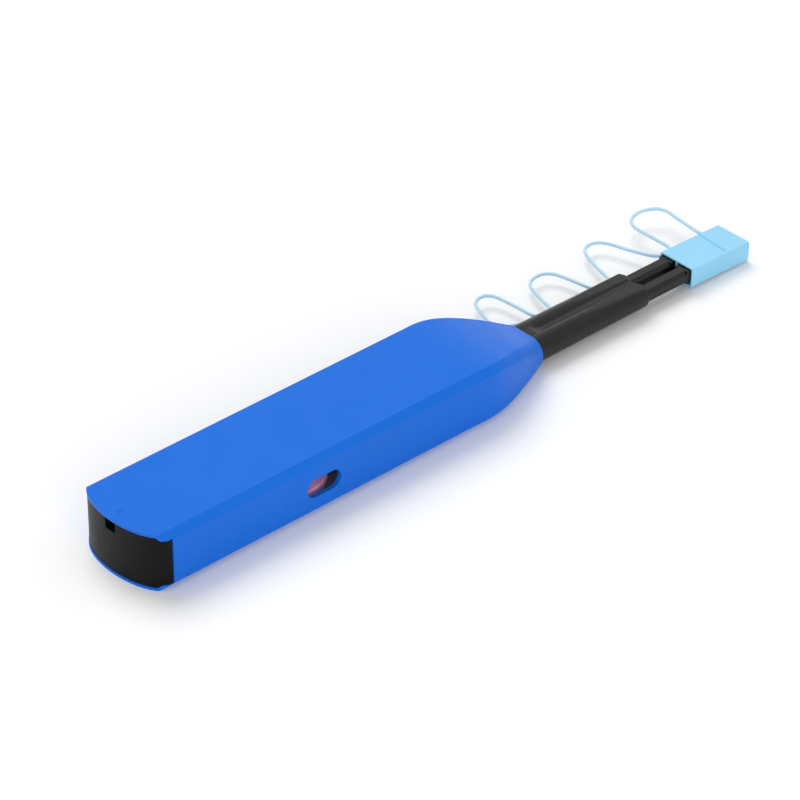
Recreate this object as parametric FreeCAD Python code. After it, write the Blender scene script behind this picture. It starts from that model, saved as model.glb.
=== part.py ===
"""Push-to-clean pen for duplex fibre connectors, one STEP file per physical piece.

Frame: +X forwards to the cleaning tips, +Y to the left, +Z up. The pen lies on the flat underside
of its sleeve, and the origin is on that underside, below the middle of the pen and its cap.
Stations along the pen are measured from the rear edge of the sleeve's side walls and are moved
to the frame when the pieces are written.
"""
import math
import os

import FreeCAD
import Part

Vec = FreeCAD.Vector

# ---- driving dimensions, millimetres ------------------------------------------------------
# sleeve
SLEEVE_W = 30.7
SLEEVE_H = 16.5
BEVEL = 1.85
WALL = 1.3
FLOOR = 0.8
LIP = 0.75
LIP_DEPTH = 7.0
TAIL_BULGE = 7.2
NOSE_X = 102.0
MOUTH_X = 130.5
WINDOW_X = 48.1
WINDOW_Z = 8.05
WINDOW_L = 11.0
WINDOW_H = 5.4
DIMPLE_X = -3.7
NOTCH_W = 3.6
NOTCH_H = 3.0
NOTCH_Y = 0.0
DIMPLE_R = 2.3
DIMPLE_DEPTH = 0.42

# duplex pitch and nozzle
PITCH = 6.25
BARREL_Z = 4.65
BARREL_R = 3.65
BARREL_END_R = 3.4
BARREL_X0 = 104.2
BARREL_X1 = 171.0
WEB_Z = 7.3
FLANGE_X0 = 96.0
FLANGE_X1 = 106.0

# cleaning tips
TIP_W = 4.4
TIP_H = 4.0
TIP_Z = 4.2
TIP_CHAMFER = 1.0
TIP_X0 = 154.0
TIP_HEAD_X = 185.7
TIP_X1 = 193.0
COLLAR_R = 2.6
COLLAR_STOP_X = 157.0
BORE_GAP = 0.15
SPRING_BORE_R = 2.1
SPRING_STOP_X = 134.0

# dust cap and tether
CAP_X0 = 186.9
CAP_L = 22.2
CAP_H = 5.85
CAP_TOP = 6.85
CAP_WALL = 0.42
CAP_PLAY = 0.255
CAP_W = PITCH + TIP_W + 2 * (CAP_WALL + CAP_PLAY)
CAP_DROOP = 1.6
RIB_X = 14.9
RIB_W = 1.0
TETHER_D = 0.95
TETHER_BOSS_X = 142.2

# push mechanism
STROKE = 10.0
FIT = 0.07
TRAY_PLAY = 0.55
COVER_PLAY = 1.15
TOP_PLAY = 0.6
REEL_PLAY = 0.4
PLATE_Z0 = 0.95
PLATE_Z1 = 2.15
CORE_X0 = 6.0
CORE_X1 = 104.0
CORE_HALF_W = SLEEVE_W / 2 - WALL - TRAY_PLAY
CORE_WALL = 0.9
COVER_T = 1.2
COVER_X1 = 95.0
COVER_Z1 = SLEEVE_H - WALL - TOP_PLAY
COVER_Z0 = COVER_Z1 - COVER_T
COVER_HALF_W = SLEEVE_W / 2 - WALL - COVER_PLAY
FLANGE_HALF_W = CORE_HALF_W - 2.3
REEL_X = 46.5
REEL_R = CORE_HALF_W - CORE_WALL - REEL_PLAY
REEL_FLOOR_Z = 5.2
REEL_TOP_Z0 = COVER_Z0 - 1.6
REEL_TOP_Z1 = COVER_Z0 - 0.7
HUB_R = 5.0
PACK_R = REEL_R - 1.9
TAKEUP_X = 74.0
TAKEUP_R = REEL_R - 1.7
AXLE_R = 1.5
GEAR_TEETH = 16
GEAR_MODULE = 0.75
GEAR_Z0 = 2.3
GEAR_Z1 = 4.2
ANCHOR_X0 = 12.0
ANCHOR_X1 = 14.5
SPRING_WALL_X = 31.6
SPRING_Z = COVER_Z0 - 5.0
PIN_Y = CORE_HALF_W - 3.0
PAWL_X = 61.5
PAWL_Y = -8.6

nodes = {}


# ---- building blocks ----------------------------------------------------------------------
def box(x0, x1, y0, y1, z0, z1):
    """Rectangular block between two corners."""
    return Part.makeBox(x1 - x0, y1 - y0, z1 - z0, Vec(x0, y0, z0))


def rod(start, end, radius):
    """Round bar from one point to another."""
    run = Vec(*end) - Vec(*start)
    return Part.makeCylinder(radius, run.Length, Vec(*start), run)


def tube_z(x, y, z0, z1, outer, inner):
    """Ring or sleeve that stands on the plane z0."""
    body = rod((x, y, z0), (x, y, z1), outer)
    return body.cut(rod((x, y, z0 - 1), (x, y, z1 + 1), inner))


def fused(shapes):
    """One clean solid from shapes that overlap or share faces."""
    return shapes[0].multiFuse(shapes[1:]).removeSplitter() if len(shapes) > 1 else shapes[0]


def mirrored(shape):
    """The same shape on the other side of the pen's centre plane."""
    return shape.mirror(Vec(0, 0, 0), Vec(0, 1, 0))


def bevelled_bar(x0, x1, half_w, z0, z1, cut, y=0.0):
    """Straight bar along X with the four long edges cut at 45 degrees."""
    corners = [(-half_w, z0 + cut), (-half_w + cut, z0), (half_w - cut, z0), (half_w, z0 + cut),
               (half_w, z1 - cut), (half_w - cut, z1), (-half_w + cut, z1), (-half_w, z1 - cut)]
    points = [Vec(x0, y + cy, cz) for cy, cz in corners]
    face = Part.Face(Part.makePolygon(points + points[:1]))
    return face.extrude(Vec(x1 - x0, 0, 0))


def nose_section(x, half_w, z0, z1, cut, swell):
    """Closed section whose corners go from a bevel (swell near 0) to a quarter round (swell 1)."""
    near = cut * (0.5 - 0.2071 * swell)
    edges = []
    corners = [(1, z1, -1), (1, z0, 1), (-1, z0, 1), (-1, z1, -1)]
    stops = []
    for side, z, inward in corners:
        flat = Vec(x, side * (half_w - cut), z)
        wall = Vec(x, side * half_w, z + inward * cut)
        middle = Vec(x, side * (half_w - near), z + inward * near)
        stops.append((flat, middle, wall) if side * inward < 0 else (wall, middle, flat))
    for index, (start, middle, end) in enumerate(stops):
        edges.append(Part.Arc(start, middle, end).toShape())
        following = stops[(index + 1) % 4][0]
        edges.append(Part.LineSegment(end, following).toShape())
    return Part.Wire(edges)


def loft(sections):
    """Smooth solid through a row of nose sections."""
    return Part.makeLoft([nose_section(*s) for s in sections], True, False)


def half_ellipse_end(bulge, half_w, z0, z1):
    """Rear end outline of the pen: everything ahead of a half ellipse in plan."""
    curve = Part.Ellipse(Vec(0, half_w, 0), Vec(bulge, 0, 0), Vec(0, 0, 0)).toShape()
    disc = Part.Face(Part.Wire([curve])).extrude(Vec(0, 0, z1 - z0))
    disc.translate(Vec(0, 0, z0))
    return disc.fuse(box(0, 220, -half_w, half_w, z0, z1))


def coil(x0, x1, y, z, mean_r, wire, turns):
    """Compression spring along X: half turns in planes tilted to and fro, of six-sided wire."""
    first = x0 + wire / 2
    rise = (x1 - x0 - wire) / (2 * turns)
    halves = []
    for k in range(2 * turns):
        side = 1 - 2 * (k % 2)
        start = Vec(first + k * rise, y, z + side * mean_r)
        end = Vec(first + (k + 1) * rise, y, z - side * mean_r)
        middle = Vec(first + (k + 0.5) * rise, y + side * math.hypot(mean_r, rise / 2), z)
        halves.append(Part.Arc(start, middle, end).toShape())
    corners = [Vec(first + wire / 2 * math.cos(k * math.pi / 3), y,
                   z + mean_r + wire / 2 * math.sin(k * math.pi / 3)) for k in range(6)]
    section = Part.makePolygon(corners + corners[:1])
    return Part.Wire(halves).makePipeShell([section], True, False)


def stadium_hole(x, z, length, height, y0, y1):
    """Slot with round ends, along X, through a side wall."""
    half = (length - height) / 2
    bar = box(x - half, x + half, y0, y1, z - height / 2, z + height / 2)
    ends = [rod((x + s * half, y0, z), (x + s * half, y1, z), height / 2) for s in (-1, 1)]
    return fused([bar] + ends)


# ---- sleeve -------------------------------------------------------------------------------
def make_shell():
    """One-piece moulded sleeve: bevelled body, curved nose, round rear and a side window."""
    half = SLEEVE_W / 2
    # the belly only ever rises from the flat underside, so the pen rests on the flat alone
    outer_nose = [
        (NOSE_X, half, 0, SLEEVE_H, BEVEL, 0.03),
        (NOSE_X + 5, half - 0.15, 0.003, SLEEVE_H - 0.28, BEVEL, 0.05),
        (NOSE_X + 10, half - 1.15, 0.015, SLEEVE_H - 1.1, 1.95, 0.12),
        (NOSE_X + 15, half - 2.75, 0.04, SLEEVE_H - 2.4, 2.2, 0.3),
        (NOSE_X + 20, half - 4.6, 0.09, SLEEVE_H - 4.05, 2.6, 0.5),
        (NOSE_X + 24.5, half - 6.4, 0.19, SLEEVE_H - 5.85, 3.2, 0.75),
        (MOUTH_X, half - 8.0, 0.33, 8.9, 4.1, 1.0),
    ]
    inner_nose = [
        (NOSE_X, half - WALL, FLOOR, SLEEVE_H - WALL, 1.1, 0.03),
        (NOSE_X + 5, half - WALL - 0.15, FLOOR, SLEEVE_H - WALL - 0.28, 1.1, 0.05),
        (NOSE_X + 10, half - WALL - 1.15, FLOOR, SLEEVE_H - WALL - 1.1, 1.25, 0.12),
        (NOSE_X + 15, half - WALL - 2.75, FLOOR, SLEEVE_H - WALL - 2.4, 1.6, 0.3),
        (NOSE_X + 20, half - WALL - 4.55, FLOOR, SLEEVE_H - WALL - 4.0, 2.1, 0.5),
        (NOSE_X + 24.5, half - 7.25, 0.84, SLEEVE_H - 6.75, 2.8, 0.8),
        (MOUTH_X + 0.1, half - 8.43, 0.88, 8.43, 3.7, 1.0),
    ]
    body = bevelled_bar(-TAIL_BULGE, NOSE_X, half, 0, SLEEVE_H, BEVEL)
    body = body.common(half_ellipse_end(TAIL_BULGE, half, -1, SLEEVE_H + 1))
    outside = fused([body, loft(outer_nose)])
    cavity = fused([
        bevelled_bar(-20, NOSE_X, half - WALL, FLOOR, SLEEVE_H - WALL, 1.1),
        loft(inner_nose),
    ])
    rebate = bevelled_bar(-20, LIP_DEPTH, half - LIP, LIP, SLEEVE_H - LIP, 1.42)
    sides = box(-2 * TAIL_BULGE, 0, -SLEEVE_W, SLEEVE_W, BEVEL - 0.2, SLEEVE_H - BEVEL + 0.2)
    shell = outside.cut(cavity).cut(rebate).cut(sides)
    shell = shell.cut(stadium_hole(WINDOW_X, WINDOW_Z, WINDOW_L, WINDOW_H, -20, -12))
    dimple = Part.makeSphere(DIMPLE_R, Vec(DIMPLE_X, 0, SLEEVE_H + DIMPLE_R - DIMPLE_DEPTH))
    return shell.cut(dimple).removeSplitter()


def make_rack():
    """Toothed strip on the sleeve's floor that turns the gear as the sleeve is pushed."""
    pitch = math.pi * GEAR_MODULE
    line = GEAR_TEETH * GEAR_MODULE / 2
    tip, root = line - 0.55, line + 0.95
    half_tooth = (pitch - 0.16) / 4
    slope = math.tan(math.radians(20))
    start = TAKEUP_X - 6 * pitch
    points = [Vec(start, root, 0)]
    for index in range(8):
        middle = start + pitch * (index + 0.5)
        foot = half_tooth + (root - line) * slope
        crest = half_tooth - (line - tip) * slope
        points.append(Vec(middle - foot, root, 0))
        points.append(Vec(middle - crest, tip, 0))
        points.append(Vec(middle + crest, tip, 0))
        points.append(Vec(middle + foot, root, 0))
    end = points[-1].x + 0.6
    points += [Vec(end, root, 0), Vec(end, root + 2.2, 0), Vec(start, root + 2.2, 0)]
    face = Part.Face(Part.makePolygon(points + points[:1]))
    toothed = face.extrude(Vec(0, 0, GEAR_Z1 - 2.4))
    toothed.translate(Vec(0, 0, 2.4))
    return fused([toothed, box(start, end, root, root + 2.2, FLOOR, 2.4)])


def make_spring_anchor():
    """Post on the sleeve's floor that holds the rear end of the return spring."""
    top = COVER_Z0 - 1.0
    post = box(ANCHOR_X0, ANCHOR_X1, -3.2, 3.2, FLOOR, top)
    post = post.makeFillet(1.2, [e for e in post.Edges
                                 if abs(e.CenterOfMass.z - top) < 0.01
                                 and abs(abs(e.CenterOfMass.y) - 3.2) < 0.01])
    spigot = Part.makeCone(2.5, 2.2, 1.8, Vec(ANCHOR_X1, 0, SPRING_Z), Vec(1, 0, 0))
    return fused([post, spigot])


# ---- sliding core -------------------------------------------------------------------------
def make_core_base():
    """Open tray that carries the reels, with walls, screw posts and a spring wall."""
    half = CORE_HALF_W
    plate = box(CORE_X0, CORE_X1, -half + 1.2, half - 1.2, PLATE_Z0, PLATE_Z1)
    side = box(CORE_X0, 100, half - CORE_WALL, half, PLATE_Z1 + 0.2, COVER_Z0)
    haunch_points = [Vec(CORE_X0, half - 1.6, PLATE_Z0), Vec(CORE_X0, half - 1.2, PLATE_Z0),
                     Vec(CORE_X0, half, PLATE_Z1 + 0.2), Vec(CORE_X0, half, PLATE_Z1 + 0.8),
                     Vec(CORE_X0, half - CORE_WALL, PLATE_Z1 + 0.8),
                     Vec(CORE_X0, half - CORE_WALL, PLATE_Z1),
                     Vec(CORE_X0, half - 1.6, PLATE_Z1)]
    haunch = Part.Face(Part.makePolygon(haunch_points + haunch_points[:1]))
    haunch = haunch.extrude(Vec(100 - CORE_X0, 0, 0))
    wall_left = fused([side, haunch])
    spring_wall = box(SPRING_WALL_X, SPRING_WALL_X + 1.4, -5.5, 5.5, PLATE_Z1, COVER_Z0)
    spigot = Part.makeCone(2.5, 2.2, 1.8, Vec(SPRING_WALL_X, 0, SPRING_Z), Vec(-1, 0, 0))
    posts = []
    for x, y in screw_places():
        posts.append(rod((x, y, PLATE_Z1), (x, y, COVER_Z0), 2.3))
    pawl_post = rod((PAWL_X, PAWL_Y, PLATE_Z1), (PAWL_X, PAWL_Y, 6.6), 1.0)
    pawl_seat = rod((PAWL_X, PAWL_Y, PLATE_Z1), (PAWL_X, PAWL_Y, 4.35), 2.0)
    tray = fused([plate, wall_left, mirrored(wall_left), spring_wall, spigot, pawl_post, pawl_seat]
                 + posts)
    for x, y in screw_places():
        tray = tray.cut(rod((x, y, COVER_Z0 - 7.4), (x, y, COVER_Z0 + 1), 0.95))
    for x in (REEL_X, TAKEUP_X):
        tray = tray.cut(rod((x, 0, 0), (x, 0, 4), AXLE_R))
    tray = tray.cut(box(ANCHOR_X0 - 0.5, ANCHOR_X1 + STROKE + 0.5, -3.6, 3.6, 0, 3))
    rack_slot = box(TAKEUP_X - 14.8, TAKEUP_X + 15.6, 5.0, 9.6, 0, 3)
    tray = tray.cut(rack_slot)
    sight = box(REEL_X - 9.5, REEL_X + 13.5, -half - 1, half + 1, 3.4, COVER_Z0 - 1.0)
    keep = box(REEL_X - 9.5, REEL_X + 13.5, -half + 2, half - 2, 3, COVER_Z0)
    tray = tray.cut(sight.cut(keep))
    for x, y in flange_screw_places():
        tray = tray.cut(rod((x, y, 0), (x, y, 3), 0.95))
    return tray


def screw_places():
    """Centres of the cover screws."""
    places = ((27.0, COVER_HALF_W - 2.9), (92.3, COVER_HALF_W - 2.5))
    return [(x, side * y) for x, y in places for side in (-1, 1)]


def flange_screw_places():
    """Centres of the screws that hold the nozzle flange."""
    return [(99.5, side * (FLANGE_HALF_W - 2.6)) for side in (-1, 1)]


def make_core_cover():
    """Lid of the sliding core, with counterbored screw holes and a slot for the anchor."""
    cover = bevelled_bar(CORE_X0, COVER_X1, COVER_HALF_W, COVER_Z0, COVER_Z1, 0.4)
    for x, y in screw_places():
        cover = cover.cut(rod((x, y, COVER_Z0 - 1), (x, y, COVER_Z1 + 1), 1.1))
        cover = cover.cut(rod((x, y, COVER_Z1 - 0.7), (x, y, COVER_Z1 + 1), 2.05))
    for x in (REEL_X, TAKEUP_X):
        cover = cover.cut(rod((x, 0, COVER_Z0 - 1), (x, 0, COVER_Z1 + 1), AXLE_R))
    for x0, x1 in ((CORE_X0 + 5, 25), (56.5, 64.0)):
        cover = cover.cut(box(x0, x1, -3.8, 3.8, COVER_Z0 - 1, COVER_Z1 + 1))
    return cover


def make_tail_block():
    """Black rear end of the core: round in plan, hollow in front, with a notch in its top edge."""
    half = SLEEVE_W / 2 - LIP - 0.12
    z0, z1 = LIP + 0.1, SLEEVE_H - LIP - 0.1
    tail = bevelled_bar(-TAIL_BULGE, CORE_X0, half, z0, z1, 1.4)
    cheeks = box(-TAIL_BULGE, -0.15, -SLEEVE_W / 2, SLEEVE_W / 2, BEVEL - 0.05,
                 SLEEVE_H - BEVEL + 0.05)
    tail = fused([tail, cheeks])
    tail = tail.common(half_ellipse_end(TAIL_BULGE - 0.15, SLEEVE_W / 2 - 0.15, -1, SLEEVE_H + 1))
    pocket = bevelled_bar(-3.6, CORE_X0 + 1, half - 2.0, z0 + 1.6, z1 - 1.6, 0.6)
    tail = tail.cut(pocket)
    notch = box(-TAIL_BULGE - 1, -4.9, NOTCH_Y - NOTCH_W / 2, NOTCH_Y + NOTCH_W / 2,
                z1 - NOTCH_H, z1 + 1)
    tongue_low = box(CORE_X0 - 3, CORE_X0 + 5, -9, 9, PLATE_Z1, PLATE_Z1 + 1.2)
    tongue_top = box(CORE_X0 - 3, CORE_X0 + 4, -9, 9, COVER_Z0 - 1.2, COVER_Z0)
    bridge = box(CORE_X0 - 3, CORE_X0, -9, 9, COVER_Z0 - 1.2, z1 - 1.2)
    return fused([tail, tongue_low, tongue_top, bridge]).cut(notch)


def make_nozzle():
    """Twin-barrel guide nozzle with a flat web, ramped root, clamping flange and stepped bores."""
    barrels = []
    for y in (-PITCH / 2, PITCH / 2):
        straight = rod((BARREL_X0, y, BARREL_Z), (MOUTH_X + 1, y, BARREL_Z), BARREL_R)
        run = BARREL_X1 - 1 - (MOUTH_X + 1)
        taper = Part.makeCone(BARREL_R, BARREL_END_R, run, Vec(MOUTH_X + 1, y, BARREL_Z),
                              Vec(1, 0, 0))
        chamfer = Part.makeCone(BARREL_END_R, BARREL_END_R - 0.7, 1.0,
                                Vec(BARREL_X1 - 1, y, BARREL_Z), Vec(1, 0, 0))
        barrel = fused([straight, taper, chamfer])
        flat = Part.Face(Part.makePolygon([
            Vec(150, 0, BARREL_Z + 3.52), Vec(172, 0, BARREL_Z + 2.9), Vec(172, 0, 12),
            Vec(150, 0, 12), Vec(150, 0, BARREL_Z + 3.52)]))
        wedge = flat.extrude(Vec(0, PITCH - 0.9, 0))
        wedge.translate(Vec(0, y - (PITCH - 0.9) / 2, 0))
        barrels.append(barrel.cut(wedge))
    web = box(BARREL_X0, BARREL_X1 - 0.8, -1.3, 1.3, 2.0, WEB_Z)
    ramp = Part.Face(Part.makePolygon([
        Vec(BARREL_X0, 0, 4), Vec(BARREL_X0, 0, 8.1), Vec(133.2, 0, 8.1), Vec(137.0, 0, WEB_Z),
        Vec(138.0, 0, 4), Vec(BARREL_X0, 0, 4)])).extrude(Vec(0, 5.6, 0))
    ramp.translate(Vec(0, -2.8, 0))
    flange = bevelled_bar(FLANGE_X0, FLANGE_X1, FLANGE_HALF_W, PLATE_Z1, 9.4, 0.8)
    boss = rod((TETHER_BOSS_X, 4.5, 3.4), (TETHER_BOSS_X, 8.7, 3.4), 1.2)
    nozzle = fused(barrels + [web, ramp, flange, boss])
    for y in (-PITCH / 2, PITCH / 2):
        nozzle = nozzle.cut(rod((90, y, TIP_Z), (SPRING_STOP_X + 1, y, TIP_Z), 0.9))
        nozzle = nozzle.cut(rod((SPRING_STOP_X, y, TIP_Z), (150, y, TIP_Z), SPRING_BORE_R))
        nozzle = nozzle.cut(rod((149, y, TIP_Z), (COLLAR_STOP_X, y, TIP_Z), COLLAR_R + 0.1))
        half = TIP_W / 2 + BORE_GAP
        high = TIP_H / 2 + BORE_GAP
        mouth = bevelled_bar(COLLAR_STOP_X - 1, BARREL_X1 + 1, half, TIP_Z - high, TIP_Z + high,
                             TIP_CHAMFER + 0.05, y)
        nozzle = nozzle.cut(mouth)
    for x, y in flange_screw_places():
        nozzle = nozzle.cut(rod((x, y, PLATE_Z1 - 0.5), (x, y, 10), 1.1))
        nozzle = nozzle.cut(rod((x, y, 8.7), (x, y, 10), 2.05))
    return nozzle


def pan_screw(x, y, z_seat, length):
    """Small pan-head screw, head up, seated at z_seat."""
    head = rod((x, y, z_seat), (x, y, z_seat + 0.9), 1.9)
    head = head.makeChamfer(0.3, [e for e in head.Edges if e.CenterOfMass.z > z_seat + 0.8
                                  and e.Closed])
    shank = rod((x, y, z_seat - length), (x, y, z_seat), 0.9)
    recess = box(x - 1.1, x + 1.1, y - 0.25, y + 0.25, z_seat + 0.45, z_seat + 2)
    return fused([head, shank]).cut(recess)


def make_axle_clips():
    """Open spring clips that hold the reels on their axles."""
    clips = []
    for x in (REEL_X, TAKEUP_X):
        ring = tube_z(x, 0, COVER_Z0 - 0.42, COVER_Z0 - 0.08, 3.1, AXLE_R)
        clips.append(ring.cut(box(x, x + 4, -1.1, 1.1, COVER_Z0 - 1, COVER_Z0 + 1)))
    return Part.makeCompound(clips)


def make_guide_pins():
    """Pins that lead the cleaning threads round the take-up reel and into the nozzle."""
    places = [(x, side * y) for x, y in ((86.4, PIN_Y), (93.2, 3.9)) for side in (-1, 1)]
    return Part.makeCompound([rod((x, y, PLATE_Z1), (x, y, 9.0), 0.8) for x, y in places])


def make_feed_threads():
    """Cleaning threads from the supply reel round the guide pins to the nozzle bores."""
    runs = []
    for side in (-1, 1):
        points = [Vec(45.8, side * (PACK_R + 0.23), 8.2), Vec(60.5, side * (PIN_Y + 1.0), 7.8),
                  Vec(86.9, side * (PIN_Y + 1.25), 6.4), Vec(95.7, side * (PITCH / 2 + 0.3), 4.3)]
        wire = Part.makePolygon(points)
        section = Part.Wire([Part.makeCircle(0.2, points[0], points[1] - points[0])])
        pipe = wire.makePipeShell([section], True, False, 1)
        runs.append(pipe)
    return Part.makeCompound(runs)


# ---- reels, gear and pawl -----------------------------------------------------------------
def make_supply_reel():
    """Spool of fresh thread, whose thick lower rim shows through the side window."""
    lower = tube_z(REEL_X, 0, 2.45, REEL_FLOOR_Z, REEL_R, AXLE_R + FIT)
    core = tube_z(REEL_X, 0, REEL_FLOOR_Z, REEL_TOP_Z0, HUB_R, AXLE_R + FIT)
    upper = tube_z(REEL_X, 0, REEL_TOP_Z0, REEL_TOP_Z1, REEL_R, AXLE_R + FIT)
    reel = fused([lower, core, upper])
    rim = [e for e in reel.Edges if e.Closed and abs(e.BoundBox.XLength - 2 * REEL_R) < 0.1]
    reel = reel.makeChamfer(0.3, rim)
    spoke = REEL_R - 4.0
    openings = [rod((REEL_X + spoke * math.cos(a), spoke * math.sin(a), REEL_TOP_Z0 - 0.8),
                    (REEL_X + spoke * math.cos(a), spoke * math.sin(a), REEL_TOP_Z1 + 1), 1.9)
                for a in [math.pi / 6 + k * math.pi / 3 for k in range(6)]]
    return reel.cut(Part.makeCompound(openings))


def make_takeup_reel():
    """Spool that winds the used thread, with a ratchet rim."""
    teeth = 24
    root = TAKEUP_R - 0.8
    points = []
    for index in range(teeth):
        a0 = 2 * math.pi * index / teeth
        a1 = 2 * math.pi * (index + 0.94) / teeth
        points.append(Vec(TAKEUP_X + root * math.cos(a0), root * math.sin(a0), 4.5))
        points.append(Vec(TAKEUP_X + TAKEUP_R * math.cos(a1), TAKEUP_R * math.sin(a1), 4.5))
    ratchet = Part.Face(Part.makePolygon(points + points[:1])).extrude(Vec(0, 0, 1.0))
    core = rod((TAKEUP_X, 0, 5.4), (TAKEUP_X, 0, REEL_TOP_Z0 + 0.1), 4.2)
    upper = rod((TAKEUP_X, 0, REEL_TOP_Z0), (TAKEUP_X, 0, REEL_TOP_Z1), TAKEUP_R - 0.4)
    reel = fused([ratchet, core, upper])
    return reel.cut(rod((TAKEUP_X, 0, 4), (TAKEUP_X, 0, REEL_TOP_Z1 + 1), AXLE_R + FIT))


def gear_outline(teeth, module, tip_r, root_r, backlash):
    """Involute gear outline of a spur gear, with 20 degree flanks."""
    line_r = teeth * module / 2
    base_r = line_r * math.cos(math.radians(20))
    half = (math.pi * module - backlash) / 4 / line_r

    def involute(radius):
        angle = math.acos(min(1.0, base_r / radius))
        return math.tan(angle) - angle

    radii = [base_r + (tip_r - base_r) * k / 4 for k in range(5)]
    points = []
    for tooth in range(teeth):
        middle = 2 * math.pi * tooth / teeth + math.pi / 2
        spread = [half + involute(line_r) - involute(r) for r in radii]
        foot = spread[0] + 0.02
        points.append((root_r, middle - foot))
        points += [(r, middle - s) for r, s in zip(radii, spread)]
        points += [(r, middle + s) for r, s in zip(reversed(radii), reversed(spread))]
        points.append((root_r, middle + foot))
    return [Vec(r * math.cos(a), r * math.sin(a), 0) for r, a in points]


def make_drive_gear():
    """Spur gear under the take-up reel that the rack turns."""
    outline = gear_outline(GEAR_TEETH, GEAR_MODULE, 6.65, 5.15, 0.16)
    gear = Part.Face(Part.makePolygon(outline + outline[:1])).extrude(Vec(0, 0, GEAR_Z1 - GEAR_Z0))
    gear.translate(Vec(TAKEUP_X, 0, GEAR_Z0))
    hub = rod((TAKEUP_X, 0, GEAR_Z0), (TAKEUP_X, 0, 4.4), 3.0)
    return fused([gear, hub]).cut(rod((TAKEUP_X, 0, 0), (TAKEUP_X, 0, 6), AXLE_R + FIT))


def make_pawl():
    """Click pawl whose nose stands behind a ratchet tooth."""
    hub = rod((PAWL_X, PAWL_Y, 4.4), (PAWL_X, PAWL_Y, 5.8), 2.1)
    points = [Vec(PAWL_X + dx, PAWL_Y + dy, 4.4)
              for dx, dy in ((0.9, 1.85), (3.5, 2.3), (3.9, 1.2), (0.8, -1.85))]
    arm = Part.Face(Part.makePolygon(points + points[:1])).extrude(Vec(0, 0, 1.0))
    return fused([hub, arm]).cut(rod((PAWL_X, PAWL_Y, 3), (PAWL_X, PAWL_Y, 7), 1.0 + FIT))


# ---- cleaning tips ------------------------------------------------------------------------
def make_tip(y):
    """Square cleaning tip: collar, chamfered shaft and a full square head with a thread bore."""
    z0, z1 = TIP_Z - TIP_H / 2, TIP_Z + TIP_H / 2
    collar = rod((TIP_X0, y, TIP_Z), (COLLAR_STOP_X - 0.05, y, TIP_Z), COLLAR_R)
    shaft = bevelled_bar(TIP_X0 + 1, TIP_HEAD_X + 0.5, TIP_W / 2, z0, z1, TIP_CHAMFER, y)
    head = bevelled_bar(TIP_HEAD_X, TIP_X1, TIP_W / 2, z0, z1, 0.12, y)
    tip = fused([collar, shaft, head])
    return tip.cut(rod((TIP_X0 - 1, y, TIP_Z), (TIP_X1 + 1, y, TIP_Z), 1.0))


def make_pad(y):
    """Length of cleaning thread that shows at the front of a tip."""
    plug = rod((187.5, y, TIP_Z), (TIP_X1 - 0.3, y, TIP_Z), 0.95)
    return plug.makeFillet(0.5, [e for e in plug.Edges
                                 if e.Closed and e.CenterOfMass.x > TIP_X1 - 1])


# ---- dust cap and tether ------------------------------------------------------------------
def make_cap():
    """Thin-walled duplex dust cap with a septum and the root rib of its tether."""
    half = CAP_W / 2
    outside = box(0, CAP_L, -half, half, -CAP_H, 0)
    rounded = [e for e in outside.Edges if not (abs(e.CenterOfMass.x) < 0.01)]
    outside = outside.makeFillet(0.45, rounded)
    pocket_w = (CAP_W - 2 * CAP_WALL - 0.6) / 2
    cap = outside
    for side in (-1, 1):
        y0 = side * 0.3
        y1 = side * (0.3 + pocket_w)
        cap = cap.cut(box(-1, CAP_L - 0.7, min(y0, y1), max(y0, y1), -CAP_H + CAP_WALL, -CAP_WALL))
    rib = rod((RIB_X, half + 0.2, 0.05), (RIB_X - 1.1, -4.3, 0.05), RIB_W / 2)
    nose = Part.makeSphere(RIB_W / 2, Vec(RIB_X - 1.1, -4.3, 0.05))
    inside = box(-1, CAP_L - 0.7, -half + CAP_WALL, half - CAP_WALL, -CAP_H + CAP_WALL, -CAP_WALL)
    cap = fused([cap, fused([rib, nose]).cut(inside)])
    cap.rotate(Vec(0, 0, 0), Vec(0, 1, 0), CAP_DROOP)
    cap.translate(Vec(CAP_X0, 0, CAP_TOP))
    return cap


def tether_route():
    """Corners of the strand's zigzag, from the cap's rib to the boss on the nozzle."""
    return [Vec(201.85, 6.28, 6.46), Vec(203.1, 14.6, 5.9), Vec(205.2, 23.4, 5.3),
            Vec(198.6, 27.0, 5.0), Vec(192.6, 23.9, 4.7), Vec(193.2, 15.4, 4.35),
            Vec(193.6, 7.5, 4.0), Vec(188.2, 7.2, 3.7), Vec(184.9, 15.8, 3.5),
            Vec(182.6, 25.1, 3.3), Vec(176.2, 25.6, 3.1), Vec(173.0, 16.7, 3.0),
            Vec(170.9, 7.9, 3.0), Vec(164.7, 7.8, 3.0), Vec(163.6, 15.6, 3.0),
            Vec(161.7, 23.8, 3.0), Vec(153.9, 23.6, 3.0), Vec(151.2, 15.9, 3.0),
            Vec(149.4, 8.1, 3.0), Vec(143.6, 8.5, 3.1), Vec(143.5, 17.2, 3.1),
            Vec(142.5, 26.2, 3.1), Vec(136.6, 26.0, 3.1), Vec(133.9, 19.4, 3.15),
            Vec(132.3, 13.0, 3.2), Vec(136.2, 10.1, 3.3), Vec(140.8, 8.15, 3.4)]


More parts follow.
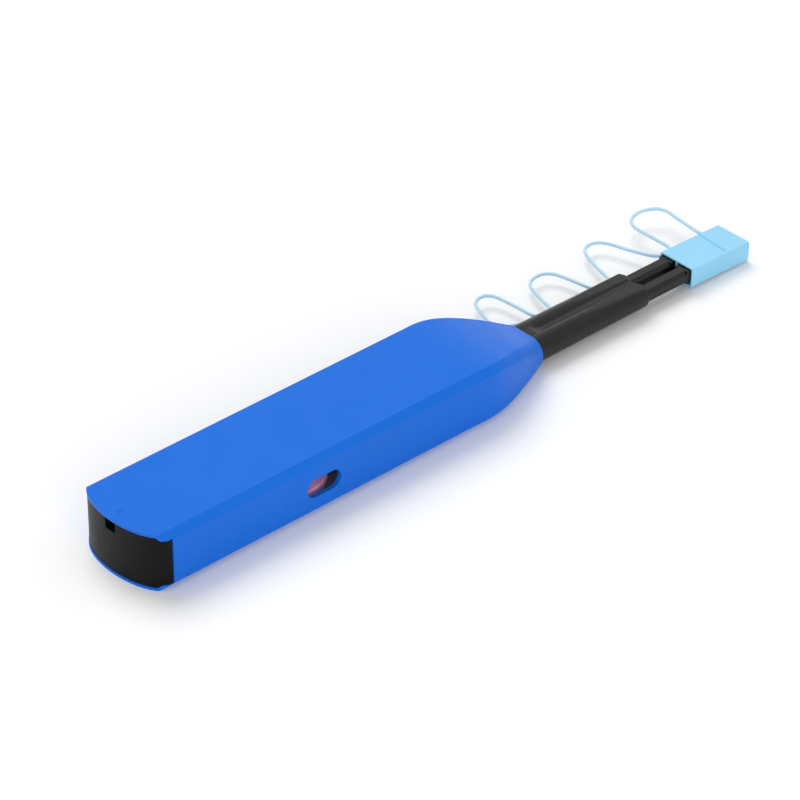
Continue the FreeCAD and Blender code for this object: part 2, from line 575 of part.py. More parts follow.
def make_tether():
    """Moulded tether strand: straight runs joined by tangent arcs."""
    route = tether_route()
    edges = []
    radii = []
    last = route[0]
    for before, corner, after in zip(route, route[1:], route[2:]):
        into = (corner - before).normalize()
        out = (after - corner).normalize()
        turn = into.getAngle(out)
        reach = 0.45 * min((corner - before).Length, (after - corner).Length)
        start = corner - into * reach
        end = corner + out * reach
        radius = reach / math.tan(turn / 2)
        radii.append(radius)
        bisector = (out - into).normalize()
        middle = corner + bisector * (math.hypot(radius, reach) - radius)
        edges.append(Part.LineSegment(last, start).toShape())
        edges.append(Part.Arc(start, middle, end).toShape())
        last = end
    edges.append(Part.LineSegment(last, route[-1]).toShape())
    wire = Part.Wire(edges)
    section = Part.Wire([Part.makeCircle(TETHER_D / 2, route[0], route[1] - route[0])])
    strand = wire.makePipeShell([section], True, True)
    print("tether length %.1f mm, volume ratio %.4f, radii %s" % (
        wire.Length, strand.Volume / (wire.Length * math.pi * TETHER_D ** 2 / 4),
        " ".join("%.1f" % r for r in radii)))
    return strand


# ---- assembly -----------------------------------------------------------------------------
def build():
    """Make every node in station coordinates."""
    nodes["shell"] = make_shell()
    nodes["rack"] = make_rack()
    nodes["spring_anchor"] = make_spring_anchor()
    nodes["core_base"] = make_core_base()
    nodes["core_cover"] = make_core_cover()
    nodes["tail_block"] = make_tail_block()
    nodes["nozzle"] = make_nozzle()
    nodes["axles"] = Part.makeCompound([
        rod((x, 0, PLATE_Z0 + 0.1), (x, 0, COVER_Z1), AXLE_R) for x in (REEL_X, TAKEUP_X)])
    nodes["axle_clips"] = make_axle_clips()
    nodes["cover_screws"] = Part.makeCompound([
        pan_screw(x, y, COVER_Z1 - 0.7, 5.5) for x, y in screw_places()])
    nodes["flange_screws"] = Part.makeCompound([
        pan_screw(x, y, 8.7, 7.6) for x, y in flange_screw_places()])
    nodes["guide_pins"] = make_guide_pins()
    nodes["feed_threads"] = make_feed_threads()
    nodes["return_spring"] = coil(ANCHOR_X1, SPRING_WALL_X, 0, SPRING_Z, 3.2, 0.7, 6)
    nodes["drive_gear"] = make_drive_gear()
    nodes["takeup_reel"] = make_takeup_reel()
    nodes["takeup_thread"] = tube_z(TAKEUP_X, 0, 5.6, REEL_TOP_Z0 - 0.1, 7.4, 4.2)
    nodes["supply_reel"] = make_supply_reel()
    nodes["supply_thread"] = tube_z(REEL_X, 0, REEL_FLOOR_Z, REEL_TOP_Z0, PACK_R, HUB_R)
    nodes["pawl"] = make_pawl()
    for name, y in (("right", -PITCH / 2), ("left", PITCH / 2)):
        nodes["tip_" + name] = make_tip(y)
        nodes["pad_" + name] = make_pad(y)
        nodes["tip_spring_" + name] = coil(SPRING_STOP_X, TIP_X0, y, TIP_Z, 1.65, 0.4, 6)
    nodes["cap"] = make_cap()
    nodes["tether"] = make_tether()


def main():
    """Centre the pen on its frame and write the STEP files."""
    build()
    cords = ("tether",)
    boxes = [s.BoundBox for name, s in nodes.items() if name not in cords]
    x_low = min(b.XMin for b in boxes)
    x_high = max(b.XMax for b in boxes)
    shift = Vec(-(x_low + x_high) / 2, 0, 0)
    os.makedirs("parts", exist_ok=True)
    print("frame shift %.3f mm, length %.3f mm" % (shift.x, x_high - x_low))
    for name, shape in nodes.items():
        moved = shape.copy()
        moved.translate(shift)
        moved.exportStep("parts/%s.step" % name)
        print("%-18s solids %d valid %s volume %.1f" % (
            name, len(moved.Solids), moved.isValid(), moved.Volume))


main()
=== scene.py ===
"""Push-to-clean pen for duplex fibre connectors: finishes, soft parts, floor, light and camera."""
import math

import bpy
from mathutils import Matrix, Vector


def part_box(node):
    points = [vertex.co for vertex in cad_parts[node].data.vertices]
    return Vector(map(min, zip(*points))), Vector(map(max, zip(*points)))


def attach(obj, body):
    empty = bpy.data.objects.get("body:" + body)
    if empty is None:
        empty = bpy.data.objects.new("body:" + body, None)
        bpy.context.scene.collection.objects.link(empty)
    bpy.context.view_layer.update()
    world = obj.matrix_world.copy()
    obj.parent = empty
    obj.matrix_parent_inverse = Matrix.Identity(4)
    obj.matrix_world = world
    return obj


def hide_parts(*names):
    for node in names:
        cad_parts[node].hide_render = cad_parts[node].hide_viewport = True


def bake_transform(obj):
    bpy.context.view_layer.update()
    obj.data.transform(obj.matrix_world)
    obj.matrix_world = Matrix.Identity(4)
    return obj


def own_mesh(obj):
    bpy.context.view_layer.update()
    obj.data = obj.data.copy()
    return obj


bl_info = {
    "name": "Fibre connector cleaning pen",
    "version": (1, 0, 0),
    "blender": (4, 5, 0),
    "location": "View3D > Sidebar > Cleaning pen",
    "description": "Builds the finished cleaning pen round its engineering model",
    "category": "Object",
}

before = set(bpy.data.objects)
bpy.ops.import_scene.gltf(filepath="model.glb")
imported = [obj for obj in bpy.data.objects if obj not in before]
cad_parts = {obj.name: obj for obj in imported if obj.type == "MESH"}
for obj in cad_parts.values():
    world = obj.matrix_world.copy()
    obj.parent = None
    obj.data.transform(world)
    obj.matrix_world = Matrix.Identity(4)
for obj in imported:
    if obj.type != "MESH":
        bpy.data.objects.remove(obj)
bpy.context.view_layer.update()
MM = 0.001
REAR_EDGE = 100.939  # distance of the sleeve's rear edge behind the origin, millimetres
FLOOR_SIZE = 8.0  # metres, wide enough to fill every view
FLOOR_DROP = 0.02 * MM  # keeps the floor clear of the flat underside


def linear(hex_text):
    """Linear colour of an sRGB hex value."""
    parts = [int(hex_text[i:i + 2], 16) / 255 for i in (1, 3, 5)]
    return tuple(p / 12.92 if p <= 0.04045 else ((p + 0.055) / 1.055) ** 2.4 for p in parts)


def colour_property(name, description, hex_text):
    """Colour setting whose default is written as an sRGB hex value."""
    return bpy.props.FloatVectorProperty(
        name=name, description=description, subtype="COLOR", size=3, min=0, max=1,
        default=linear(hex_text))


def length_property(name, description, millimetres):
    """Length setting whose default is written in millimetres."""
    return bpy.props.FloatProperty(
        name=name, description=description, unit="LENGTH", min=0, precision=5,
        default=millimetres * MM)


# ---- settings -----------------------------------------------------------------------------
class PenSizes(bpy.types.PropertyGroup):
    """Sizes of the finishing work on the pen."""
    sleeve_round: length_property("Sleeve edge", "Radius on the sleeve's moulded edges", 0.3)
    tail_round: length_property("Tail edge", "Radius on the rear block's edges", 0.2)
    nozzle_round: length_property("Nozzle edge", "Radius on the nozzle's edges", 0.08)
    tip_round: length_property("Tip edge", "Radius on the cleaning tips' edges", 0.08)
    cap_round: length_property("Cap edge", "Radius on the dust cap's thin edges", 0.04)
    thread: length_property("Thread", "Diameter of the cleaning thread", 0.4)
    return_wire: length_property("Return spring wire", "Diameter of the return spring's wire", 0.7)
    tip_wire: length_property("Tip spring wire", "Diameter of the tip springs' wire", 0.4)
    tether: length_property("Tether", "Diameter of the moulded tether strand", 0.95)


class PenColours(bpy.types.PropertyGroup):
    """Colours of the pen's mouldings."""
    sleeve: colour_property("Sleeve", "Bright blue moulded sleeve", "#0A6CDC")
    black: colour_property("Black", "Black rear block", "#0D0D0E")
    nozzle: colour_property("Nozzle", "Black nozzle and tips", "#0E0E0E")
    cap: colour_property("Cap", "Pale blue cap", "#98D6FA")
    tether: colour_property("Tether", "Paler thin tether strand", "#BFE0F4")
    core: colour_property("Core", "Blue-grey inner tray", "#8D93B4")
    reel: colour_property("Reel", "Pink supply reel", "#F0A9D6")
    natural: colour_property("Natural", "Undyed gears and take-up reel", "#DEDCD2")
    thread: colour_property("Thread", "White microfibre thread", "#ECECEA")
    steel: colour_property("Steel", "Zinc-plated screws and axles", "#B9BABC")
    wire: colour_property("Wire", "Drawn spring wire", "#A4A5A8")
    floor: colour_property("Floor", "Pale studio floor", "#FFFFFF")


class PenStage(bpy.types.PropertyGroup):
    """Camera and light."""
    azimuth: bpy.props.FloatProperty(
        name="Azimuth", description="Camera's angle round the pen", subtype="ANGLE",
        default=math.radians(-42.14))
    elevation: bpy.props.FloatProperty(
        name="Elevation", description="Camera's angle above the floor", subtype="ANGLE",
        default=math.radians(34.37))
    distance: bpy.props.FloatProperty(
        name="Distance", description="Camera's distance from its target", unit="LENGTH",
        default=1.0)
    target: bpy.props.FloatVectorProperty(
        name="Target", description="Point the camera looks at", subtype="TRANSLATION",
        default=(-0.0364, -0.0249, 0.0304))
    lens: bpy.props.FloatProperty(
        name="Lens", description="Focal length in millimetres on a 36 mm sensor", default=184.3)
    sky: bpy.props.FloatProperty(
        name="Sky", description="Strength of the white room", default=0.54)
    key: bpy.props.FloatProperty(
        name="Key", description="Strength of the overhead key", default=1.45)
    fill: bpy.props.FloatProperty(
        name="Fill", description="Strength of the low fill", default=1.35)


# ---- materials ----------------------------------------------------------------------------
def add_node(tree, kind, settings=None, links=None):
    """Add one node, set its properties or input values, and link its inputs."""
    node = tree.nodes.new(kind)
    for key, value in (settings or {}).items():
        if key in node.inputs:
            node.inputs[key].default_value = value
        else:
            setattr(node, key, value)
    for key, socket in (links or {}).items():
        tree.links.new(socket, node.inputs[key])
    return node


def blank_material(name):
    """Empty node material with its output and Object coordinates."""
    material = bpy.data.materials.new(name)
    material.use_nodes = True
    tree = material.node_tree
    tree.nodes.clear()
    output = add_node(tree, "ShaderNodeOutputMaterial")
    place = add_node(tree, "ShaderNodeTexCoord").outputs["Object"]
    return material, tree, output, place


def shade(colour, factor):
    """Lighter or darker version of a linear colour, with alpha."""
    return tuple(min(1.0, c * factor) for c in colour[:3]) + (1.0,)


def moulded_plastic(name, colour, roughness, grit_mm, depth_mm, drift=0.05, gloss=0.5,
                    glow=0.0):
    """Injection-moulded plastic: spark-eroded grain, slow drift of tone and a few soft scuffs."""
    material, tree, output, place = blank_material(name)
    # tone drifts over about 30 mm, as flow and handling leave it
    cloud = add_node(tree, "ShaderNodeTexNoise", {"Scale": 1 / (30 * MM), "Detail": 3.0},
                     {"Vector": place})
    tone = add_node(tree, "ShaderNodeMix", {"data_type": "RGBA"},
                    {0: cloud.outputs["Fac"]})
    tone.inputs[6].default_value = shade(colour, 1 - drift)
    tone.inputs[7].default_value = shade(colour, 1 + drift)
    # grain of the tool's surface, drawn a little coarser than the real 0.05 mm so that it shows
    grain = add_node(tree, "ShaderNodeTexNoise",
                     {"Scale": 1 / (grit_mm * MM), "Detail": 2.0, "Roughness": 0.6},
                     {"Vector": place})
    bump = add_node(tree, "ShaderNodeBump", {"Strength": 0.5, "Distance": depth_mm * MM},
                    {"Height": grain.outputs["Fac"]})
    # handling polishes some patches and scuffs others
    wear = add_node(tree, "ShaderNodeTexNoise", {"Scale": 1 / (9 * MM), "Detail": 5.0,
                                                 "Roughness": 0.65}, {"Vector": place})
    rough = add_node(tree, "ShaderNodeMapRange",
                     {"From Min": 0.3, "From Max": 0.7, "To Min": roughness - 0.05,
                      "To Max": roughness + 0.06}, {"Value": wear.outputs["Fac"]})
    shader = add_node(tree, "ShaderNodeBsdfPrincipled",
                      {"Specular IOR Level": gloss, "IOR": 1.5},
                      {"Base Color": tone.outputs[2], "Roughness": rough.outputs["Result"],
                       "Normal": bump.outputs["Normal"]})
    if glow:
        shader.inputs["Subsurface Weight"].default_value = glow
        shader.inputs["Subsurface Radius"].default_value = (0.4, 0.8, 1.0)
        shader.inputs["Subsurface Scale"].default_value = 0.6 * MM
    tree.links.new(shader.outputs["BSDF"], output.inputs["Surface"])
    return material


def drawn_steel(name, colour, roughness, line_mm, stretch):
    """Bright plated or drawn steel with fine lines along its length."""
    material, tree, output, place = blank_material(name)
    mapping = add_node(tree, "ShaderNodeMapping", {"Scale": stretch}, {"Vector": place})
    lines = add_node(tree, "ShaderNodeTexNoise", {"Scale": 1 / (line_mm * MM), "Detail": 3.0},
                     {"Vector": mapping.outputs["Vector"]})
    bump = add_node(tree, "ShaderNodeBump", {"Strength": 0.25, "Distance": 0.004 * MM},
                    {"Height": lines.outputs["Fac"]})
    rough = add_node(tree, "ShaderNodeMapRange",
                     {"To Min": roughness - 0.06, "To Max": roughness + 0.08},
                     {"Value": lines.outputs["Fac"]})
    tone = add_node(tree, "ShaderNodeMix", {"data_type": "RGBA"}, {0: lines.outputs["Fac"]})
    tone.inputs[6].default_value = shade(colour, 0.9)
    tone.inputs[7].default_value = shade(colour, 1.06)
    shader = add_node(tree, "ShaderNodeBsdfPrincipled", {"Metallic": 1.0},
                      {"Base Color": tone.outputs[2], "Roughness": rough.outputs["Result"],
                       "Normal": bump.outputs["Normal"]})
    tree.links.new(shader.outputs["BSDF"], output.inputs["Surface"])
    return material


def spun_microfibre(name, colour, lay_mm):
    """Twisted lint-free thread: slanting filaments, a soft nap and almost no gloss."""
    material, tree, output, place = blank_material(name)
    turned = add_node(tree, "ShaderNodeMapping", {"Rotation": (0.5, 0.35, 0.6)},
                      {"Vector": place})
    strands = add_node(tree, "ShaderNodeTexWave",
                       {"wave_type": "BANDS", "Scale": 1 / (lay_mm * MM * 2), "Distortion": 1.5,
                        "Detail": 2.0}, {"Vector": turned.outputs["Vector"]})
    nap = add_node(tree, "ShaderNodeTexNoise", {"Scale": 1 / (0.12 * MM), "Detail": 4.0},
                   {"Vector": place})
    height = add_node(tree, "ShaderNodeMath", {"operation": "ADD"},
                      {0: strands.outputs["Fac"], 1: nap.outputs["Fac"]})
    bump = add_node(tree, "ShaderNodeBump", {"Strength": 0.6, "Distance": 0.05 * MM},
                    {"Height": height.outputs["Value"]})
    tone = add_node(tree, "ShaderNodeMix", {"data_type": "RGBA"}, {0: nap.outputs["Fac"]})
    tone.inputs[6].default_value = shade(colour, 0.84)
    tone.inputs[7].default_value = shade(colour, 1.05)
    shader = add_node(tree, "ShaderNodeBsdfPrincipled",
                      {"Roughness": 0.9, "Specular IOR Level": 0.2, "Sheen Weight": 0.3},
                      {"Base Color": tone.outputs[2], "Normal": bump.outputs["Normal"]})
    tree.links.new(shader.outputs["BSDF"], output.inputs["Surface"])
    return material


def seen_by_camera(tree):
    """Socket that is 1 for rays seen directly, in a reflection or through a clear piece."""
    rays = add_node(tree, "ShaderNodeLightPath")
    seen = add_node(tree, "ShaderNodeMath", {"operation": "MAXIMUM"},
                    {0: rays.outputs["Is Camera Ray"], 1: rays.outputs["Is Glossy Ray"]})
    seen = add_node(tree, "ShaderNodeMath", {"operation": "MAXIMUM"},
                    {0: seen.outputs["Value"], 1: rays.outputs["Is Transmission Ray"]})
    return seen.outputs["Value"]


def studio_floor(name, colour):
    """Matt white sweep: full white to the camera, a little darker to bounced light."""
    material, tree, output, place = blank_material(name)
    paper = add_node(tree, "ShaderNodeTexNoise", {"Scale": 1 / (60 * MM)}, {"Vector": place})
    tone = add_node(tree, "ShaderNodeMix", {"data_type": "RGBA"}, {0: paper.outputs["Fac"]})
    tone.inputs[6].default_value = shade(colour, 0.995)
    tone.inputs[7].default_value = shade(colour, 1.0)
    seen = seen_by_camera(tree)
    shown = add_node(tree, "ShaderNodeBsdfDiffuse", {}, {"Color": tone.outputs[2]})
    bounced = add_node(tree, "ShaderNodeBsdfDiffuse", {"Color": shade(colour, 0.75)})
    both = add_node(tree, "ShaderNodeMixShader", {}, {
        0: seen, 1: bounced.outputs["BSDF"], 2: shown.outputs["BSDF"]})
    tree.links.new(both.outputs["Shader"], output.inputs["Surface"])
    return material


def finishes():
    """Every finish of the pen, made once."""
    tints = bpy.context.scene.pen_colours
    if "ABS, bright blue, matt moulded" in bpy.data.materials:
        return {m.name: m for m in bpy.data.materials}
    made = [
        # acrylonitrile butadiene styrene from a spark-eroded tool: soft, wide highlights
        moulded_plastic("ABS, bright blue, matt moulded", tints.sleeve, 0.42, 0.32, 0.012,
                        gloss=0.22),
        # the same resin in black from a finer tool: a darker, slightly sharper sheen
        moulded_plastic("ABS, black, satin moulded", tints.black, 0.42, 0.25, 0.008, gloss=0.12),
        # glass-filled nylon from a polished tool: long soft highlights along the barrels
        moulded_plastic("Nylon, black, smooth moulded", tints.nozzle, 0.28, 0.3, 0.006, gloss=0.3),
        # low-density polyethylene: waxy and slightly see-through, so light spreads in it
        moulded_plastic("Polyethylene, pale blue, waxy", tints.cap, 0.4, 0.5, 0.01, 0.03, 0.4,
                        0.35),
        # the same resin drawn thin, so that more light comes through it
        moulded_plastic("Polyethylene, palest blue, thin", tints.tether, 0.42, 0.5, 0.006, 0.03,
                        0.35, 0.35),
        moulded_plastic("ABS, blue-grey, plain moulded", tints.core, 0.45, 0.3, 0.01),
        # polypropylene: clear gloss over a full colour
        moulded_plastic("Polypropylene, pink, gloss moulded", tints.reel, 0.25, 0.4, 0.006),
        # acetal: milky, hard and slippery
        moulded_plastic("Acetal, natural, smooth moulded", tints.natural, 0.35, 0.4, 0.006, 0.03,
                        0.5, 0.15),
        drawn_steel("Steel, zinc plated", tints.steel, 0.3, 0.25, (1, 1, 1)),
        drawn_steel("Spring steel, drawn", tints.wire, 0.28, 0.15, (0.2, 1, 1)),
        spun_microfibre("Microfibre thread, twisted", tints.thread, 0.35),
        studio_floor("Studio floor, matt white", tints.floor),
    ]
    return {m.name: m for m in made}


BLUE = "ABS, bright blue, matt moulded"
BLACK = "ABS, black, satin moulded"
NYLON = "Nylon, black, smooth moulded"
PALE = "Polyethylene, pale blue, waxy"
STRAND = "Polyethylene, palest blue, thin"
GREY = "ABS, blue-grey, plain moulded"
PINK = "Polypropylene, pink, gloss moulded"
ACETAL = "Acetal, natural, smooth moulded"
STEEL = "Steel, zinc plated"
WIRE = "Spring steel, drawn"
THREAD = "Microfibre thread, twisted"
FLOOR = "Studio floor, matt white"


# ---- modelling helpers --------------------------------------------------------------------
def activate(obj):
    """Select only this object and make it active."""
    bpy.ops.object.select_all(action="DESELECT")
    obj.select_set(True)
    bpy.context.view_layer.objects.active = obj


def settle(obj):
    """Put the object's place, turn and scale into its mesh."""
    activate(obj)
    bpy.ops.object.transform_apply(location=True, rotation=True, scale=True)


def apply_modifier(obj, kind, settings):
    """Add one modifier with its settings and apply it."""
    activate(obj)
    modifier = obj.modifiers.new(kind.title(), kind)
    for key, value in settings.items():
        setattr(modifier, key, value)
    bpy.ops.object.modifier_apply(modifier=modifier.name)


def dress(obj, finish):
    """Give the object one finish."""
    obj.data.materials.clear()
    obj.data.materials.append(finishes()[finish])


def smooth(obj, degrees=32):
    """Smooth shading up to an angle."""
    activate(obj)
    bpy.ops.object.shade_smooth_by_angle(angle=math.radians(degrees))


def moulded_copy(node, name, body, finish, radius):
    """Copy of a CAD moulding with its loose triangles joined and its edges rounded."""
    piece = bpy.data.objects.new(name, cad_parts[node].data.copy())
    bpy.context.scene.collection.objects.link(piece)
    activate(piece)
    bpy.ops.object.mode_set(mode="EDIT")
    bpy.ops.mesh.select_all(action="SELECT")
    bpy.ops.mesh.remove_doubles(threshold=0.002 * MM)
    bpy.ops.mesh.dissolve_limited(angle_limit=math.radians(1.0))
    bpy.ops.object.mode_set(mode="OBJECT")
    apply_modifier(piece, "BEVEL", {
        "width": radius, "segments": 2, "limit_method": "ANGLE",
        "angle_limit": math.radians(30), "use_clamp_overlap": True})
    smooth(piece)
    apply_modifier(piece, "WEIGHTED_NORMAL", {"weight": 100, "keep_sharp": True})
    dress(piece, finish)
    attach(piece, body)
    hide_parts(node)
    return piece


def helix(name, turns, mean_r, wire, length, steps):
    """Round wire wound about Z from z = 0: a ring swept by a screw, its ends closed."""
    bpy.ops.object.select_all(action="DESELECT")
    bpy.ops.mesh.primitive_circle_add(
        vertices=10, radius=wire / 2, fill_type="NGON", location=(mean_r, 0, wire / 2),
        rotation=(math.pi / 2, 0, 0))
    coil = bpy.context.object
    coil.name = name
    settle(coil)
    bpy.ops.object.mode_set(mode="EDIT")
    bpy.ops.mesh.select_all(action="SELECT")
    bpy.ops.mesh.delete(type="ONLY_FACE")
    bpy.ops.object.mode_set(mode="OBJECT")
    apply_modifier(coil, "SCREW", {
        "axis": "Z", "screw_offset": (length - wire) / turns, "iterations": turns,
        "steps": steps, "render_steps": steps, "angle": 2 * math.pi,
        "use_merge_vertices": True, "merge_threshold": 0.001 * MM})
    bpy.ops.object.mode_set(mode="EDIT")
    bpy.ops.mesh.select_all(action="DESELECT")
    bpy.ops.mesh.select_mode(type="EDGE")
    bpy.ops.mesh.select_non_manifold()
    bpy.ops.mesh.edge_face_add()
    bpy.ops.mesh.select_all(action="SELECT")
    bpy.ops.mesh.normals_make_consistent(inside=False)
    bpy.ops.object.mode_set(mode="OBJECT")
    return coil


# ---- pieces -------------------------------------------------------------------------------
class PieceOperator(bpy.types.Operator):
    """Common options of the operators that build pieces."""
    bl_options = {"REGISTER", "UNDO"}


class PEN_OT_sleeve(PieceOperator):
    """Blue sleeve with rounded moulded edges"""
    bl_idname = "pen.sleeve"
    bl_label = "Sleeve"

    def execute(self, context):
        moulded_copy("shell", "sleeve_moulding", "sleeve", BLUE,
                     context.scene.pen_sizes.sleeve_round)
        return {"FINISHED"}


class PEN_OT_tail(PieceOperator):
    """Black rear block with its notch"""
    bl_idname = "pen.tail"
    bl_label = "Rear block"

    def execute(self, context):
        moulded_copy("tail_block", "rear_block", "core", BLACK,
                     context.scene.pen_sizes.tail_round)
        return {"FINISHED"}


class PEN_OT_nozzle(PieceOperator):
    """Twin-barrel nozzle and the two cleaning tips"""
    bl_idname = "pen.nozzle"
    bl_label = "Nozzle and tips"

    def execute(self, context):
        sizes = context.scene.pen_sizes
        moulded_copy("nozzle", "nozzle_moulding", "core", NYLON,
                     sizes.nozzle_round)
        for side in ("right", "left"):
            moulded_copy("tip_" + side, "cleaning_tip_" + side, "tip_" + side,
                         NYLON, sizes.tip_round)
        return {"FINISHED"}


class PEN_OT_cap(PieceOperator):
    """Pale blue dust cap with its root rib"""
    bl_idname = "pen.cap"
    bl_label = "Dust cap"

    def execute(self, context):
        moulded_copy("cap", "dust_cap", "cap", PALE,
                     context.scene.pen_sizes.cap_round)
        return {"FINISHED"}


class PEN_OT_tether(PieceOperator):
    """Zigzag tether strand between the cap and the nozzle"""
    bl_idname = "pen.tether"
    bl_label = "Tether"

    def execute(self, context):
        diameter = context.scene.pen_sizes.tether
        stations = [
            (201.85, 6.28, 6.46), (203.1, 14.6, 5.9), (205.2, 23.4, 5.3), (198.6, 27.0, 5.0),
            (192.6, 23.9, 4.7), (193.2, 15.4, 4.35), (193.6, 7.5, 4.0), (188.2, 7.2, 3.7),
            (184.9, 15.8, 3.5), (182.6, 25.1, 3.3), (176.2, 25.6, 3.1), (173.0, 16.7, 3.0),
            (170.9, 7.9, 3.0), (164.7, 7.8, 3.0), (163.6, 15.6, 3.0), (161.7, 23.8, 3.0),
            (153.9, 23.6, 3.0), (151.2, 15.9, 3.0), (149.4, 8.1, 3.0), (143.6, 8.5, 3.1),
            (143.5, 17.2, 3.1), (142.5, 26.2, 3.1), (136.6, 26.0, 3.1), (133.9, 19.4, 3.15),
            (132.3, 13.0, 3.2), (136.2, 10.1, 3.3), (140.8, 8.15, 3.4)]
        # the stations are counted from the sleeve's rear edge
        route = [Vector((x - REAR_EDGE, y, z)) * MM for x, y, z in stations]
        data = bpy.data.curves.new("tether_strand", "CURVE")
        data.dimensions = "3D"
        data.resolution_u = 10
        spline = data.splines.new("NURBS")
        spline.points.add(len(route) - 1)
        for point, place in zip(spline.points, route):
            point.co = (*place, 1)
        spline.order_u = 3
        spline.use_endpoint_u = True
        strand = bpy.data.objects.new("tether_strand", data)
        context.scene.collection.objects.link(strand)
        line = bpy.data.meshes.new_from_object(strand)
        data.bevel_depth = diameter / 2
        data.bevel_resolution = 3
        data.use_fill_caps = True
        activate(strand)
        bpy.ops.object.convert(target="MESH")
        strand = context.object
        smooth(strand, 60)
        dress(strand, STRAND)
        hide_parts("tether")
        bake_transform(strand)
        return {"FINISHED"}


class PEN_OT_windings(PieceOperator):
    """Thread wound on the supply and take-up reels"""
    bl_idname = "pen.windings"
    bl_label = "Thread windings"

    def execute(self, context):
        thread = context.scene.pen_sizes.thread
        for node, body in (("supply_thread", "supply"), ("takeup_thread", "takeup")):
            low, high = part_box(node)
            middle = [(a + b) / 2 for a, b in zip(low, high)]
            outer = (high[0] - low[0]) / 2
            height = high[2] - low[2]
            turns = int(height / (thread * 1.02))
            winding = helix(node + "_turns", turns, outer - thread / 2, thread, height, 56)
            winding.location = (middle[0], middle[1], low[2])
            settle(winding)
            # the pack below the outer layer, slightly barrelled by the thread's own lay
            bpy.ops.object.select_all(action="DESELECT")
            bpy.ops.mesh.primitive_cylinder_add(
                vertices=64, radius=outer - thread * 0.7, depth=height * 0.998, location=middle)
            pack = context.object
            settle(pack)
            apply_modifier(pack, "BEVEL", {"width": thread, "segments": 3})
            winding.select_set(True)
            bpy.context.view_layer.objects.active = winding
            bpy.ops.object.join()
            winding = context.object
            winding.name = node + "_wound"
            smooth(winding, 50)
            dress(winding, THREAD)
            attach(winding, body)
            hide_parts(node)
        return {"FINISHED"}


class PEN_OT_springs(PieceOperator):
    """Return spring and tip springs in round wire"""
    bl_idname = "pen.springs"
    bl_label = "Springs"

    def execute(self, context):
        sizes = context.scene.pen_sizes
        springs = [
            ("return_spring", "push", sizes.return_wire, 7, 0.415, "high"),
            ("tip_spring_right", "tip_right_push", sizes.tip_wire, 12, 0.85, "low"),
            ("tip_spring_left", "tip_left_push", sizes.tip_wire, 12, 0.85, "low")]
        for node, joint, wire, turns, keep, held in springs:
            low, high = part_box(node)
            radius = (high[2] - low[2] - wire) / 2
            coil = helix(node + "_wire", turns, radius, wire, high[0] - low[0], 28)
            coil.rotation_euler = (0, math.pi / 2, 0)
            coil.location = (low[0], (low[1] + high[1]) / 2, (low[2] + high[2]) / 2)
            settle(coil)
            smooth(coil, 60)
            dress(coil, WIRE)
            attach(coil, "core")
            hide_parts(node)
            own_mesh(coil)
        return {"FINISHED"}


class PEN_OT_works(PieceOperator):
    """Finishes of the inner works that keep their engineering shape"""
    bl_idname = "pen.works"
    bl_label = "Inner works"

    def execute(self, context):
        wear = {
            "rack": BLUE, "spring_anchor": BLUE, "core_base": GREY, "core_cover": GREY,
            "axles": STEEL, "axle_clips": WIRE, "cover_screws": STEEL, "flange_screws": STEEL,
            "guide_pins": STEEL, "feed_threads": THREAD, "drive_gear": ACETAL,
            "takeup_reel": ACETAL, "supply_reel": PINK, "pawl": ACETAL, "pad_right": THREAD,
            "pad_left": THREAD}
        for node, finish in wear.items():
            smooth(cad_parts[node], 30)
            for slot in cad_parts[node].material_slots:
                slot.material = finishes()[finish]
        return {"FINISHED"}


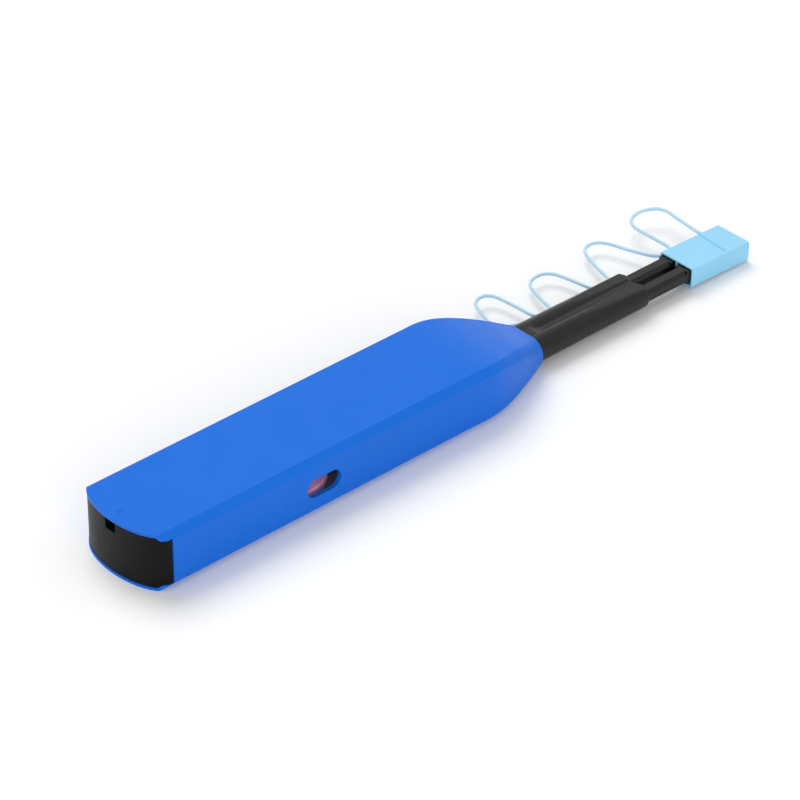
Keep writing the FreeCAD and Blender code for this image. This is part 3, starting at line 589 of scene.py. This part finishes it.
class PEN_OT_stage(PieceOperator):
    """Floor, room light, lamps and camera"""
    bl_idname = "pen.stage"
    bl_label = "Stage"

    def execute(self, context):
        stage = context.scene.pen_stage
        bpy.ops.object.select_all(action="DESELECT")
        bpy.ops.mesh.primitive_plane_add(size=FLOOR_SIZE, location=(0, 0, -FLOOR_DROP))
        floor = context.object
        floor.name = "floor"
        dress(floor, FLOOR)

        world = bpy.data.worlds.new("white room")
        context.scene.world = world
        world.use_nodes = True
        tree = world.node_tree
        tree.nodes.clear()
        strength = add_node(tree, "ShaderNodeMapRange", {"To Min": stage.sky, "To Max": 1.0},
                            {"Value": seen_by_camera(tree)})
        sky = add_node(tree, "ShaderNodeBackground", {"Color": (1, 1, 1, 1)},
                       {"Strength": strength.outputs["Result"]})
        room = add_node(tree, "ShaderNodeOutputWorld")
        tree.links.new(sky.outputs["Background"], room.inputs["Surface"])

        lamps = [("key", stage.key, 56, 165, 40), ("fill", stage.fill, 14, -30, 60)]
        for name, strength, elevation, azimuth, softness in lamps:
            data = bpy.data.lights.new(name, "SUN")
            data.energy = strength
            data.angle = math.radians(softness)
            lamp = bpy.data.objects.new(name, data)
            lamp.rotation_euler = (math.radians(90 - elevation), 0, math.radians(azimuth))
            lamp.visible_glossy = False
            context.scene.collection.objects.link(lamp)

        lens = bpy.data.cameras.new("camera")
        lens.lens = stage.lens
        lens.sensor_width = 36.0
        lens.clip_start = 0.05
        lens.clip_end = 20.0
        camera = bpy.data.objects.new("camera", lens)
        back = Vector((math.sin(stage.azimuth) * math.cos(stage.elevation),
                       -math.cos(stage.azimuth) * math.cos(stage.elevation),
                       math.sin(stage.elevation)))
        camera.location = Vector(stage.target) + back * stage.distance
        camera.rotation_euler = (math.pi / 2 - stage.elevation, 0, stage.azimuth)
        context.scene.collection.objects.link(camera)
        context.scene.camera = camera
        context.scene.view_settings.view_transform = "Standard"
        return {"FINISHED"}


class PEN_PT_panel(bpy.types.Panel):
    """Lists the pen's operators"""
    bl_idname = "PEN_PT_panel"
    bl_label = "Cleaning pen"
    bl_space_type = "VIEW_3D"
    bl_region_type = "UI"
    bl_category = "Cleaning pen"

    def draw(self, context):
        for operator in PIECES + (PEN_OT_stage,):
            self.layout.operator(operator.bl_idname)
        for group in ("pen_sizes", "pen_colours", "pen_stage"):
            settings = getattr(context.scene, group)
            for key in settings.__annotations__:
                self.layout.prop(settings, key)


GROUPS = (PenSizes, PenColours, PenStage)
PIECES = (PEN_OT_sleeve, PEN_OT_tail, PEN_OT_nozzle, PEN_OT_cap, PEN_OT_tether,
          PEN_OT_windings, PEN_OT_springs, PEN_OT_works)
CLASSES = GROUPS + PIECES + (PEN_OT_stage, PEN_PT_panel)


def register():
    """Register the classes and their settings on the scene."""
    for cls in CLASSES:
        bpy.utils.register_class(cls)
    bpy.types.Scene.pen_sizes = bpy.props.PointerProperty(type=PenSizes)
    bpy.types.Scene.pen_colours = bpy.props.PointerProperty(type=PenColours)
    bpy.types.Scene.pen_stage = bpy.props.PointerProperty(type=PenStage)


def unregister():
    """Remove the settings and the classes."""
    del bpy.types.Scene.pen_stage
    del bpy.types.Scene.pen_colours
    del bpy.types.Scene.pen_sizes
    for cls in reversed(CLASSES):
        bpy.utils.unregister_class(cls)


def main():
    """Build the pen and its stage."""
    register()
    for operator in (PEN_OT_stage,) + PIECES:
        group, call = operator.bl_idname.split(".")
        getattr(getattr(bpy.ops, group), call)()


if __name__ == "__main__":
    main()
